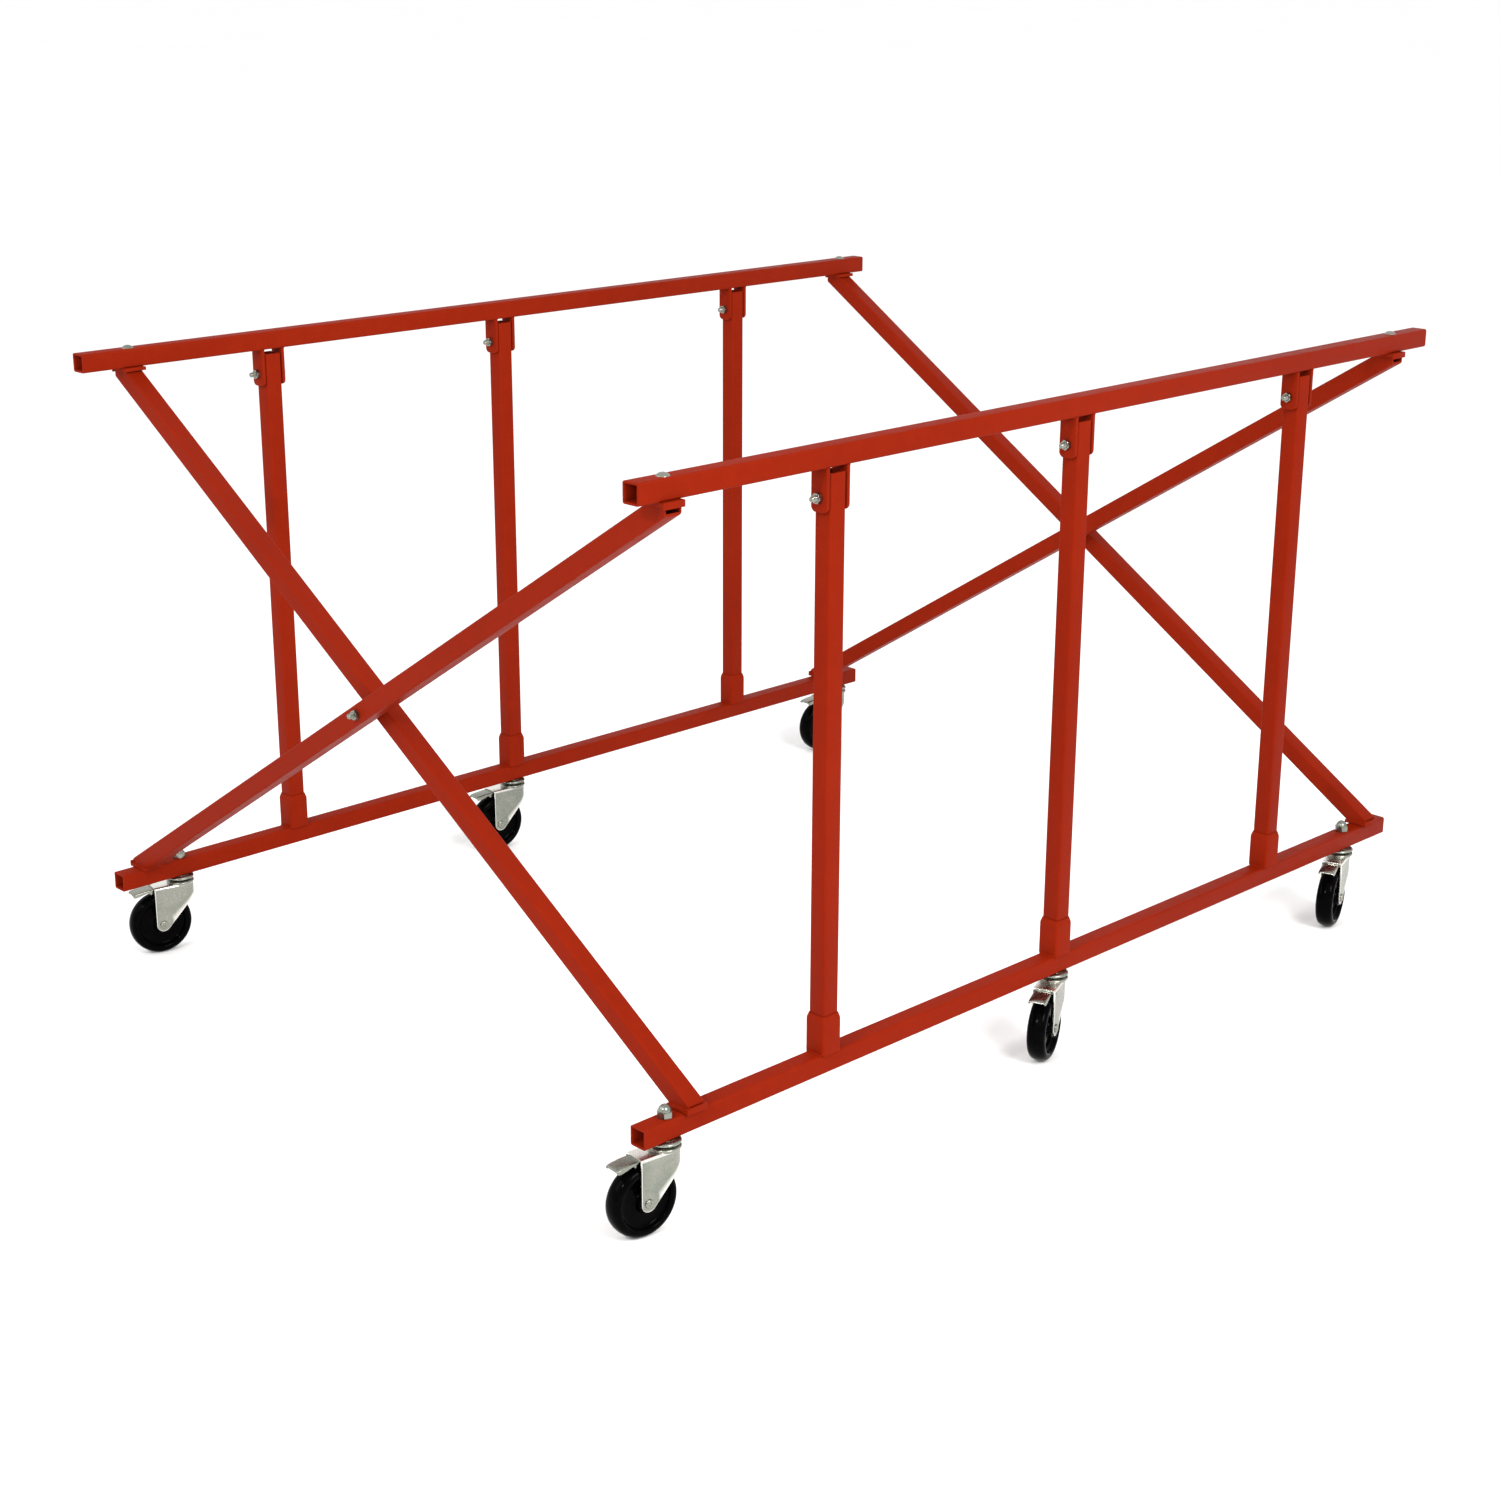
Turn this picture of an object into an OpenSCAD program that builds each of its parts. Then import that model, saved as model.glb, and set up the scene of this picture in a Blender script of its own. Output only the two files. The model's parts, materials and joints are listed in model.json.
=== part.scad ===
// Rolling knock-down rail stand on six braked swivel casters.
// +Y runs along the rails from the near end to the far end, +X runs from the
// left side frame to the right one, +Z is up. The floor is z = 0.

/* [Frame] */
// length of each rail
rail_len = 1690; // [1200:10:2400]
// distance between the left and right rail centres
frame_w = 1236; // [800:2:1600]
// distance between the lower and upper rail centres
frame_h = 828; // [600:2:1100]
// outside size of the square tube
tube = 28; // [20:0.1:40]
// wall of the square tube
tube_wall = 3; // [1.5:0.1:4]
// outside corner radius of the square tube
tube_round = 3; // [1:0.5:5]

/* [Posts] */
// end posts, distance from the rail ends
post_inset = 335; // [250:5:420]
// left middle post, distance towards the near end from the rail's middle
mid_shift_left = 41; // [0:1:80]
// right middle post, distance towards the near end from the rail's middle
mid_shift_right = 20; // [0:1:80]
// space between a post's top and the upper rail
post_top_gap = 7.5; // [2:0.5:20]
// space between a post and each lug
lug_gap = 1.8; // [0.5:0.1:4]
// thickness of a lug
lug_t = 5; // [3:0.5:8]
// length of a lug below the rail
lug_len = 58; // [45:1:80]
// corner radius of a lug
lug_round = 8; // [3:1:12]
// post bolt, distance below the upper rail
post_bolt_drop = 39; // [30:1:60]
// wall of a post socket
socket_wall = 2.775; // [1.5:0.025:5]
// space between a post and its socket on each side
socket_gap = 0.4; // [0.2:0.1:1]
// height of a post socket
socket_h = 56; // [40:1:80]

/* [Braces] */
// centre plane of the outer brace arm, distance from the rail ends
arm_out = 51; // [30:1:80]
// centre plane of the inner brace arm, distance from the rail ends
arm_in = 85; // [60:1:120]
// brace centre line below the upper rail's centre
arm_drop = 26; // [18:1:40]
// brace centre line above the lower rail's centre
arm_rise = 21; // [18:1:40]
// length of a brace end plate along the rail
plate_len = 39; // [30:1:60]
// width of a brace end plate across the rail
plate_w = 40; // [26:1:50]
// thickness of a brace end plate
plate_t = 5; // [3:0.5:8]
// height of an end plate's lip above the plate
plate_lip = 3.5; // [1:0.5:8]
// thickness of an end plate's lip
lip_t = 3; // [2:0.5:5]

/* [Fasteners] */
// frame bolt radius
bolt_r = 4; // [3:0.5:6]
// frame bolt head and nut, size across the flats
bolt_af = 13; // [10:0.5:19]
// height of a frame nut
nut_h = 6.5; // [4:0.5:10]
// height of a frame bolt head
head_h = 5.3; // [3:0.1:8]
// radius of a domed bolt head
dome_r = 9; // [7:0.5:12]
// height of a domed bolt head
dome_h = 4.5; // [3:0.5:7]
// thread showing past a frame nut
thread_out = 8; // [2:0.5:12]
// space around a bolt in its hole
hole_gap = 0.3; // [0.1:0.05:0.6]
// space around a thread in its nut
nut_gap = 0.05; // [0.02:0.01:0.1]

/* [Casters] */
// caster stem, distance from the rail end where it is the outer one
caster_out = 46; // [30:1:80]
// caster stem, distance from the rail end where it is the inner one
caster_in = 110; // [90:1:160]
// stem radius
stem_r = 6; // [4:0.5:8]
// acorn nut, size across the flats
acorn_af = 19; // [14:0.5:24]
// acorn nut, height of the hexagon
acorn_hex_h = 9; // [6:0.5:14]
// plain nut under a middle post, height
stem_nut_h = 10; // [6:0.5:12]
// swivel race radius
race_r = 22; // [16:0.5:30]
// fixed cup, height
cup_h = 6; // [3:0.5:10]
// bearing band under the cup, height
band_h = 2.2; // [1:0.2:6]
// turning drum on the fork, height
drum_h = 3.4; // [2:0.1:16]
// space between the turning and the fixed race
race_gap = 0.6; // [0.3:0.1:1]
// wheel radius
wheel_r = 50.8; // [38:0.1:64]
// wheel width over the tread
wheel_w = 28; // [20:1:40]
// tread edge chamfer
wheel_edge = 3; // [1:0.5:6]
// web thickness beside the hub
web_t = 12; // [6:1:20]
// hub radius
hub_r = 14; // [10:0.5:20]
// distance from the swivel axis to the axle
trail = 38; // [25:1:55]
// space between the fork legs
fork_in = 31; // [24:0.5:44]
// thickness of the fork's sheet
fork_t = 2.5; // [1.5:0.1:4]
// radius of the fork leg's lower end
leg_r = 11.5; // [9:0.5:20]
// space between the wheel and the fork's crown
crown_gap = 10.4; // [8:0.1:20]
// thickness of the fork's crown
crown_t = 2.5; // [1.5:0.1:4]
// axle radius
axle_r = 4; // [3:0.5:6]
// radius of the axle's heads
axle_head_r = 6.5; // [5:0.5:9]
// thickness of the axle's heads
axle_head_t = 2.6; // [1.5:0.1:4]
// running space around an axle, pivot or kingpin
run_gap = 0.05; // [0.02:0.01:0.1]
// side space between hub and fork
hub_gap = 0.4; // [0.3:0.1:1]

/* [Brakes] */
// pedal width
pedal_w = 26; // [16:0.5:30]
// pedal sheet thickness
pedal_t = 2; // [1.5:0.1:3]
// pedal tip, distance behind the axle
pedal_reach = 49; // [40:1:60]
// pedal pivot, distance behind the axle
pivot_back = 7; // [5:0.5:9]
// pedal pivot, height above the wheel's top
pivot_clear = 7.3; // [6:0.1:11]
// pedal pivot radius
pivot_r = 1.9; // [1.5:0.1:3]
// brake shoe below the pedal pivot
shoe_drop = 6.9; // [5:0.1:10]

/* [Standing position] */
// near left caster's turn
turn_nl = -12; // [-180:1:180]
// near right caster's turn
turn_nr = -6; // [-180:1:180]
// middle left caster's turn
turn_ml = -6; // [-180:1:180]
// middle right caster's turn
turn_mr = 23; // [-180:1:180]
// far left caster's turn
turn_fl = -3; // [-180:1:180]
// far right caster's turn
turn_fr = 19; // [-180:1:180]

/* [Hidden] */
$fn = 64;
eps = 0.01;
half = tube / 2;
red = [0.62, 0.13, 0.07];
zinc = [0.72, 0.73, 0.74];
black = [0.05, 0.05, 0.05];

// reach of a turned wheel sideways from its stem, and backwards from it
function wheel_side(a) = max(
    wheel_r * abs(sin(a)) + (wheel_w / 2 - wheel_edge) * abs(cos(a)),
    (wheel_r - wheel_edge) * abs(sin(a)) + wheel_w / 2 * abs(cos(a)));
function reach_right(a) = trail * sin(a) + wheel_side(a);
function reach_left(a) = -trail * sin(a) + wheel_side(a);
function reach_near(a) = trail * cos(a) + wheel_side(90 - abs(a));

// the origin is below the middle of everything's outline
x_high = frame_w / 2 + max(reach_right(turn_nr), reach_right(turn_mr), reach_right(turn_fr), race_r);
x_low = frame_w / 2 + max(reach_left(turn_nl), reach_left(turn_ml), reach_left(turn_fl), race_r);
y_high = rail_len / 2;
y_low = rail_len / 2 + max(0, reach_near(turn_nr) - caster_out, reach_near(turn_nl) - caster_in);
x0 = (x_low - x_high) / 2;
y0 = (y_low - y_high) / 2;
xl = x0 - frame_w / 2;
xr = x0 + frame_w / 2;
near = y0 - rail_len / 2;
far = y0 + rail_len / 2;
leg_h = wheel_r + crown_gap;
pivot_up = wheel_r + pivot_clear;
caster_h = wheel_r + leg_h + crown_t + drum_h + race_gap + band_h + cup_h;
socket = tube + 2 * socket_gap + 2 * socket_wall;
z_low = caster_h + half;
z_high = z_low + frame_h;
z_rail_top = z_low + half;
z_rail_under = z_high - half;

// post places along the left and the right rails
posts_l = [near + post_inset, y0 - mid_shift_left, far - post_inset];
posts_r = [near + post_inset, y0 - mid_shift_right, far - post_inset];
mid_foot = stem_nut_h + 1;

// brace angle and middle
arm_angle = atan((frame_h - arm_drop - arm_rise) / frame_w);
arm_mid = (z_low + arm_rise + z_high - arm_drop) / 2;
arm_run = frame_w / cos(arm_angle) + 4 * tube;
brace_near = [near + arm_in, near + arm_out];
brace_far = [far - arm_out, far - arm_in];
// the out-of-line space between a pair of arms
arm_space = arm_in - arm_out - tube;

// heights down a caster
z_axle = wheel_r;
z_cup = caster_h - cup_h;
z_band = z_cup - band_h;
z_drum = z_band - race_gap;
z_crown = z_axle + leg_h;
leg_out = fork_in / 2 + fork_t;
head_drop = 3;
stem_out = 9;
nut_room_r = bolt_af / 2 / cos(30) + 1;
arm_nut_room = 3;
knee_h = 32;
nose_h = 45;
tab_drop = 5.5;

// ---- square tube ----

// round-cornered square
module round_square(size, r) {
    square([size - 2 * r, size], center = true);
    square([size, size - 2 * r], center = true);
    for (i = [-1, 1], j = [-1, 1])
        translate([i * (size / 2 - r), j * (size / 2 - r)]) circle(r);
}

// square tube along +Z
module tube_z(len, size, wall, r) {
    linear_extrude(len) difference() {
        round_square(size, r);
        square(size - 2 * wall, center = true);
    }
}

// rail along +Y from the near end
module rail(x, z) {
    translate([x, near, z]) rotate([-90, 0, 0]) tube_z(rail_len, tube, tube_wall, tube_round);
}

// upright hole through a rail
module rail_hole(x, y, z, r) {
    translate([x, y, z - tube]) cylinder(h = 2 * tube, r = r);
}

module upper_rail(x, arm_ys) {
    color(red) difference() {
        rail(x, z_high);
        for (y = arm_ys) rail_hole(x, y, z_high, bolt_r + hole_gap);
    }
}

module lower_rail(x, arm_ys, stem_ys) {
    color(red) difference() {
        rail(x, z_low);
        for (y = arm_ys) rail_hole(x, y, z_low, bolt_r + hole_gap);
        for (y = stem_ys) rail_hole(x, y, z_low, stem_r + hole_gap);
    }
}

// ---- stem places, near to far ----

stems_l = [near + caster_in, posts_l[1], far - caster_out];
stems_r = [near + caster_out, posts_r[1], far - caster_in];

module rail_top_left() upper_rail(xl, [brace_near[0], brace_far[0]]);
module rail_top_right() upper_rail(xr, [brace_near[1], brace_far[1]]);
module rail_bottom_left() lower_rail(xl, [brace_near[1], brace_far[1]], stems_l);
module rail_bottom_right() lower_rail(xr, [brace_near[0], brace_far[0]], stems_r);

// ---- posts ----

// post standing on the lower rail, or above a stem nut
module post(x, y, foot) {
    bottom = z_rail_top + foot;
    top = z_rail_under - post_top_gap;
    color(red) difference() {
        translate([x, y, bottom]) tube_z(top - bottom, tube, tube_wall, tube_round);
        translate([x, y + tube, z_rail_under - post_bolt_drop])
            rotate([90, 0, 0]) cylinder(h = 2 * tube, r = bolt_r + hole_gap);
    }
}

module post_near_left() post(xl, posts_l[0], 0);
module post_mid_left() post(xl, posts_l[1], mid_foot);
module post_far_left() post(xl, posts_l[2], 0);
module post_near_right() post(xr, posts_r[0], 0);
module post_mid_right() post(xr, posts_r[1], mid_foot);
module post_far_right() post(xr, posts_r[2], 0);

// round-bottomed lug hanging from the upper rail, its thickness along +Y
module lug(x, y) {
    translate([x, y + lug_t, z_rail_under - lug_len]) rotate([90, 0, 0]) linear_extrude(lug_t)
        difference() {
            union() {
                translate([-half, lug_round]) square([tube, lug_len - lug_round]);
                translate([lug_round - half, 0]) square([tube - 2 * lug_round, lug_len]);
                for (i = [-1, 1]) translate([i * (half - lug_round), lug_round]) circle(lug_round);
            }
            translate([0, lug_len - post_bolt_drop]) circle(bolt_r + hole_gap);
        }
}

module lugs(x, ys) {
    color(red) for (y = ys) {
        lug(x, y + half + lug_gap);
        lug(x, y - half - lug_gap - lug_t);
    }
}

module post_lugs_left() lugs(xl, posts_l);
module post_lugs_right() lugs(xr, posts_r);

// socket tubes standing on the lower rail round the posts' feet
module sockets(x, ys) {
    hole = tube + 2 * socket_gap;
    color(red) for (y = ys) translate([x, y, z_rail_top]) linear_extrude(socket_h) difference() {
        round_square(socket, tube_round);
        square(hole, center = true);
    }
}

module post_sockets_left() sockets(xl, posts_l);
module post_sockets_right() sockets(xr, posts_r);

// ---- braces ----

// brace arm whose upper end is on the left (dir = 1) or on the right (dir = -1)
module arm(y, dir) {
    plate_face = half + plate_t;
    end_x = frame_w / 2 + plate_w / 2 - lip_t;
    color(red) difference() {
        translate([x0, y, arm_mid]) rotate([0, 90 + dir * arm_angle, 0])
            translate([0, 0, -arm_run / 2]) tube_z(arm_run, tube, tube_wall, tube_round);
        // level cuts against the end plates
        translate([x0 - frame_w, y - tube, z_high - plate_face]) cube([2 * frame_w, 2 * tube, 4 * tube]);
        translate([x0 - frame_w, y - tube, z_low + plate_face - 4 * tube])
            cube([2 * frame_w, 2 * tube, 4 * tube]);
        // upright cuts against the plates' lips
        translate([x0 + end_x, y - tube, 0]) cube([frame_w, 2 * tube, 2 * z_high]);
        translate([x0 - end_x - frame_w, y - tube, 0]) cube([frame_w, 2 * tube, 2 * z_high]);
        // room for the nut on each end plate
        translate([x0 - dir * frame_w / 2, y, z_high - plate_face - nut_h - arm_nut_room])
            cylinder(h = 3 * nut_h, r = nut_room_r);
        translate([x0 + dir * frame_w / 2, y, z_low + plate_face + arm_nut_room - 2 * nut_h])
            cylinder(h = 3 * nut_h, r = nut_room_r);
        // hole for the centre bolt
        translate([x0, y + tube, arm_mid]) rotate([90, 0, 0])
            cylinder(h = 2 * tube, r = bolt_r + hole_gap);
    }
}
module arm_near_inner() arm(brace_near[0], 1);
module arm_near_outer() arm(brace_near[1], -1);
module arm_far_outer() arm(brace_far[0], 1);
module arm_far_inner() arm(brace_far[1], -1);

// lipped plate between a brace end and its rail, up = 1 on a lower rail and
// -1 under an upper one, side = 1 where the lip faces +X
module end_plate(x, y, z, up, side) {
    translate([x, y, z]) scale([side, 1, up]) difference() {
        union() {
            translate([-plate_w / 2, -plate_len / 2, half]) cube([plate_w, plate_len, plate_t]);
            translate([plate_w / 2 - lip_t, -plate_len / 2, half])
                cube([lip_t, plate_len, plate_t + plate_lip]);
        }
        cylinder(h = 2 * tube, r = bolt_r + hole_gap);
    }
}

module arm_plates_near() {
    color(red) {
        end_plate(xl, brace_near[0], z_high, -1, -1);
        end_plate(xr, brace_near[0], z_low, 1, 1);
        end_plate(xr, brace_near[1], z_high, -1, 1);
        end_plate(xl, brace_near[1], z_low, 1, -1);
    }
}

module arm_plates_far() {
    color(red) {
        end_plate(xl, brace_far[0], z_high, -1, -1);
        end_plate(xr, brace_far[0], z_low, 1, 1);
        end_plate(xr, brace_far[1], z_high, -1, 1);
        end_plate(xl, brace_far[1], z_low, 1, -1);
    }
}

// ---- fasteners ----

// hexagonal nut on +Z with its thread hole
module nut(af, h, r) {
    difference() {
        cylinder(h = h, r = af / 2 / cos(30), $fn = 6);
        translate([0, 0, -eps]) cylinder(h = h + 2 * eps, r = r);
    }
}

// domed bolt through a rail and an end plate, head up
module dome_bolt() {
    ball = (dome_r * dome_r + dome_h * dome_h) / (2 * dome_h);
    intersection() {
        translate([0, 0, half + dome_h - ball]) sphere(ball);
        translate([0, 0, half]) cylinder(h = dome_h + eps, r = dome_r);
    }
    translate([0, 0, -half - plate_t - nut_h - 2]) cylinder(h = tube + plate_t + nut_h + 2 + eps, r = bolt_r);
}

// a brace end's fixings, done at each end of each arm
module arm_ends() {
    for (y = [brace_near[0], brace_far[0]]) {
        translate([xl, y, z_high]) children();
        translate([xr, y, z_low]) rotate([180, 0, 0]) children();
    }
    for (y = [brace_near[1], brace_far[1]]) {
        translate([xr, y, z_high]) children();
        translate([xl, y, z_low]) rotate([180, 0, 0]) children();
    }
}

module arm_bolts() {
    color(zinc) arm_ends() dome_bolt();
}

module arm_nuts() {
    color(zinc) arm_ends()
        translate([0, 0, -half - plate_t - nut_h]) nut(bolt_af, nut_h, bolt_r + nut_gap);
}

// hexagon bolt on +Z: the head under z = 0, the grip, then the thread
module hex_bolt(grip) {
    translate([0, 0, -head_h]) cylinder(h = head_h, r = bolt_af / 2 / cos(30), $fn = 6);
    translate([0, 0, -eps]) cylinder(h = grip + nut_h + thread_out + eps, r = bolt_r);
}

post_grip = tube + 2 * lug_gap + 2 * lug_t;

// each post's bolt line, starting on the far lug and running towards -Y
module post_bolt_lines() {
    for (y = posts_l) translate([xl, y + post_grip / 2, z_rail_under - post_bolt_drop])
        rotate([90, 0, 0]) children();
    for (y = posts_r) translate([xr, y + post_grip / 2, z_rail_under - post_bolt_drop])
        rotate([90, 0, 0]) children();
}

module post_bolts() {
    color(zinc) post_bolt_lines() hex_bolt(post_grip);
}

module post_nuts() {
    color(zinc) post_bolt_lines() translate([0, 0, post_grip]) nut(bolt_af, nut_h, bolt_r + nut_gap);
}

arm_grip = 2 * tube + arm_space;

// the crossing of each pair of arms, with the nut on the outer side
module crossings() {
    translate([x0, brace_near[0] + half, arm_mid]) rotate([90, 0, 0]) children();
    translate([x0, brace_far[1] - half, arm_mid]) rotate([-90, 0, 0]) children();
}

module centre_bolts() {
    color(zinc) crossings() hex_bolt(arm_grip);
}

module centre_nuts() {
    color(zinc) crossings() translate([0, 0, arm_grip]) nut(bolt_af, nut_h, bolt_r + nut_gap);
}

module centre_spacers() {
    color(zinc) crossings() translate([0, 0, tube]) difference() {
        cylinder(h = arm_space, r = bolt_r + 5);
        translate([0, 0, -eps]) cylinder(h = arm_space + 2 * eps, r = bolt_r + hole_gap);
    }
}

acorn_dome_r = acorn_af / 2 - 0.6;

module acorn() {
    difference() {
        union() {
            cylinder(h = acorn_hex_h, r = acorn_af / 2 / cos(30), $fn = 6);
            intersection() {
                translate([0, 0, acorn_hex_h - eps]) sphere(acorn_dome_r);
                translate([0, 0, acorn_hex_h - eps]) cylinder(h = acorn_dome_r, r = acorn_dome_r);
            }
        }
        translate([0, 0, -eps]) cylinder(h = acorn_hex_h + 1, r = stem_r + nut_gap);
    }
}

module stem_nuts() {
    color(zinc) {
        for (y = [stems_l[0], stems_l[2]]) translate([xl, y, z_rail_top]) acorn();
        for (y = [stems_r[0], stems_r[2]]) translate([xr, y, z_rail_top]) acorn();
    }
}

module stem_nuts_mid() {
    color(zinc) {
        translate([xl, stems_l[1], z_rail_top]) nut(acorn_af, stem_nut_h, stem_r + nut_gap);
        translate([xr, stems_r[1], z_rail_top]) nut(acorn_af, stem_nut_h, stem_r + nut_gap);
    }
}

// ---- casters, modelled with the stem at x = y = 0 and the wheel towards -Y ----

// stem, cup, bearing band and the kingpin's head, all fixed to the rail
module mount() {
    color(zinc) {
        translate([0, 0, z_cup]) cylinder(h = cup_h, r = race_r);
        translate([0, 0, z_band]) cylinder(h = band_h + eps, r = race_r - 2);
        translate([0, 0, z_crown - head_drop]) cylinder(h = z_rail_top + stem_out - z_crown + head_drop, r = stem_r);
        translate([0, 0, z_crown - head_drop]) cylinder(h = head_drop - 0.3, r = stem_r + 4);
    }
}

// a fork leg's outline: x runs towards the stem, y up from the axle
module leg_outline() {
    knee = [trail + 8, knee_h];
    reach = norm(knee);
    // the slanting edge runs just inside the round end, so that the two cross
    inside = leg_r - 0.03;
    a = atan2(knee[1], knee[0]) - acos(inside / reach);
    circle(leg_r);
    top = leg_h + crown_t;
    polygon([[-leg_r, 0], [-leg_r, top], [trail + race_r, top], [trail + race_r - 1, nose_h], knee,
        [inside * cos(a), inside * sin(a)], [0, 0]]);
}

module fork() {
    color(zinc) difference() {
        union() {
            // two legs
            for (i = [-1, 1]) translate([i * (fork_in + fork_t) / 2 - fork_t / 2, -trail, z_axle])
                rotate([90, 0, 90]) linear_extrude(fork_t) leg_outline();
            // crown across the legs
            translate([-leg_out, -trail - leg_r, z_crown])
                cube([2 * leg_out, trail + leg_r + race_r - 4, crown_t]);
            // turning drum
            translate([0, 0, z_crown]) cylinder(h = z_drum - z_crown, r = race_r);
        }
        translate([0, 0, z_crown - 1]) cylinder(h = caster_h, r = stem_r + run_gap);
        // axle and pedal pivot holes
        translate([-tube, -trail, z_axle]) rotate([0, 90, 0]) cylinder(h = 2 * tube, r = axle_r + run_gap);
        translate([-tube, -trail - pivot_back, z_axle + pivot_up]) rotate([0, 90, 0])
            cylinder(h = 2 * tube, r = pivot_r + run_gap);
    }
}

module axle() {
    color(zinc) translate([0, -trail, z_axle]) rotate([0, 90, 0]) {
        translate([0, 0, -leg_out - axle_head_t]) cylinder(h = 2 * (leg_out + axle_head_t), r = axle_r);
        for (z = [-leg_out - axle_head_t, leg_out]) translate([0, 0, z])
            cylinder(h = axle_head_t, r = axle_head_r);
    }
}

module wheel() {
    w = wheel_w / 2;
    hub = fork_in / 2 - hub_gap;
    rim_in = wheel_r - 12;
    color(black) translate([0, -trail, z_axle]) rotate([0, 90, 0]) rotate_extrude($fn = 96) polygon([
        [axle_r + run_gap, -hub], [hub_r, -hub], [hub_r + 2, -web_t / 2], [rim_in - 2, -web_t / 2],
        [rim_in, -w], [wheel_r - wheel_edge, -w], [wheel_r, -w + wheel_edge],
        [wheel_r, w - wheel_edge], [wheel_r - wheel_edge, w], [rim_in, w],
        [rim_in - 2, web_t / 2], [hub_r + 2, web_t / 2], [hub_r, hub], [axle_r + run_gap, hub]]);
}

// pedal sheet with its turned lips, knuckle, shoe and pivot pin
module brake() {
    top = pivot_up + pivot_r + pedal_t / 2;
    knuckle = pivot_r + 1;
    color(zinc) translate([0, -trail, z_axle]) rotate([90, 0, 90]) {
        translate([0, 0, -pedal_w / 2]) linear_extrude(pedal_w) {
            translate([-pivot_back, pivot_up]) circle(knuckle);
            polygon([[-pivot_back, pivot_up + knuckle], [-pivot_back, pivot_up],
                [-pivot_back - 12, pivot_up - 1], [-pedal_reach, pivot_up - tab_drop],
                [-pedal_reach, pivot_up - tab_drop + pedal_t], [-pivot_back - 12, pivot_up + 1.6]]);
            polygon([[-pivot_back - 3, pivot_up + 1], [-pivot_back - 4, pivot_up - shoe_drop],
                [-pivot_back - 9, pivot_up - shoe_drop], [-pivot_back - 10, pivot_up]]);
        }
        for (z = [-pedal_w / 2, pedal_w / 2 - pedal_t]) translate([0, 0, z]) linear_extrude(pedal_t)
            polygon([[-leg_r - 4, pivot_up - 1], [-leg_r - 4, pivot_up + 4.5],
                [-pedal_reach, pivot_up - tab_drop + 5], [-pedal_reach, pivot_up - tab_drop]]);
        translate([-pivot_back, pivot_up, -leg_out - 0.8]) cylinder(h = 2 * leg_out + 1.6, r = pivot_r);
    }
}

// a caster piece at its stem, turned to its standing position
module at_stem(x, y, turn) {
    translate([x, y, 0]) rotate([0, 0, turn]) children();
}

module at_nl() at_stem(xl, stems_l[0], turn_nl) children();
module at_ml() at_stem(xl, stems_l[1], turn_ml) children();
module at_fl() at_stem(xl, stems_l[2], turn_fl) children();
module at_nr() at_stem(xr, stems_r[0], turn_nr) children();
module at_mr() at_stem(xr, stems_r[1], turn_mr) children();
module at_fr() at_stem(xr, stems_r[2], turn_fr) children();

module mount_nl() at_nl() mount();
module fork_nl() at_nl() fork();
module axle_nl() at_nl() axle();
module wheel_nl() at_nl() wheel();
module brake_nl() at_nl() brake();
module mount_nr() at_nr() mount();
module fork_nr() at_nr() fork();
module axle_nr() at_nr() axle();
module wheel_nr() at_nr() wheel();
module brake_nr() at_nr() brake();
module mount_ml() at_ml() mount();
module fork_ml() at_ml() fork();
module axle_ml() at_ml() axle();
module wheel_ml() at_ml() wheel();
module brake_ml() at_ml() brake();
module mount_mr() at_mr() mount();
module fork_mr() at_mr() fork();
module axle_mr() at_mr() axle();
module wheel_mr() at_mr() wheel();
module brake_mr() at_mr() brake();
module mount_fl() at_fl() mount();
module fork_fl() at_fl() fork();
module axle_fl() at_fl() axle();
module wheel_fl() at_fl() wheel();
module brake_fl() at_fl() brake();
module mount_fr() at_fr() mount();
module fork_fr() at_fr() fork();
module axle_fr() at_fr() axle();
module wheel_fr() at_fr() wheel();
module brake_fr() at_fr() brake();

rail_top_left();
rail_top_right();
rail_bottom_left();
rail_bottom_right();
post_near_left();
post_mid_left();
post_far_left();
post_near_right();
post_mid_right();
post_far_right();
arm_near_inner();
arm_near_outer();
arm_far_inner();
arm_far_outer();
arm_plates_near();
arm_plates_far();
post_lugs_left();
post_lugs_right();
post_sockets_left();
post_sockets_right();
arm_bolts();
arm_nuts();
post_bolts();
post_nuts();
centre_bolts();
centre_nuts();
centre_spacers();
stem_nuts();
stem_nuts_mid();
mount_nl();
fork_nl();
axle_nl();
wheel_nl();
brake_nl();
mount_nr();
fork_nr();
axle_nr();
wheel_nr();
brake_nr();
mount_ml();
fork_ml();
axle_ml();
wheel_ml();
brake_ml();
mount_mr();
fork_mr();
axle_mr();
wheel_mr();
brake_mr();
mount_fl();
fork_fl();
axle_fl();
wheel_fl();
brake_fl();
mount_fr();
fork_fr();
axle_fr();
wheel_fr();
brake_fr();
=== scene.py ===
import json
from math import atan2, cos, pi, radians, sin, sqrt

import bpy
from mathutils import Matrix, Vector


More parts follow.
